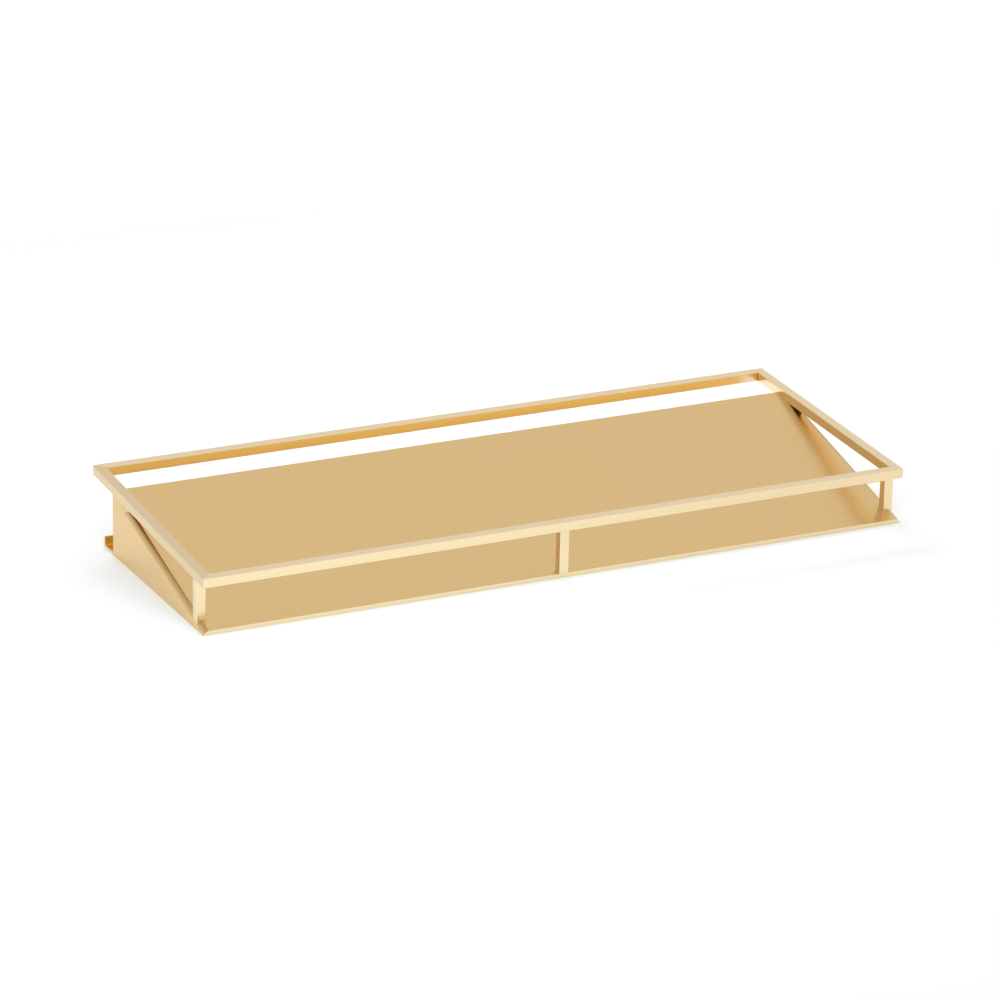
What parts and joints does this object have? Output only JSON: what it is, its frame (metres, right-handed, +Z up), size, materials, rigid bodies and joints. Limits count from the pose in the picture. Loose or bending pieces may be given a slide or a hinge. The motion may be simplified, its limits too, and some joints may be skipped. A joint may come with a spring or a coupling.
{
  "type": "condiment caddy",
  "caption": "Low sloped metal caddy: a folded sheet floor that rises to the rear, inside a rectangular rail of square bar on short front posts, for a row of bottles and jars.",
  "frame": {"origin": "on the surface that the caddy stands on, under the middle of its bounding box", "axes": "+X to the right along the rails, +Y from the open front to the rear, +Z up"},
  "size_m": [0.3, 0.1222, 0.0312],
  "materials": {
    "sheet_brass": "satin, fine grain",
    "bar_brass": "satin, slightly eased edges"
  },
  "bodies": {
    "root": {"tray_sheet": "sheet_brass", "rear_strip": "sheet_brass", "front_rail": "bar_brass", "right_rail": "bar_brass", "rear_rail": "bar_brass", "left_rail": "bar_brass", "front_left_post": "bar_brass", "front_right_post": "bar_brass", "front_centre_post": "bar_brass"}
  },
  "joints": []
}
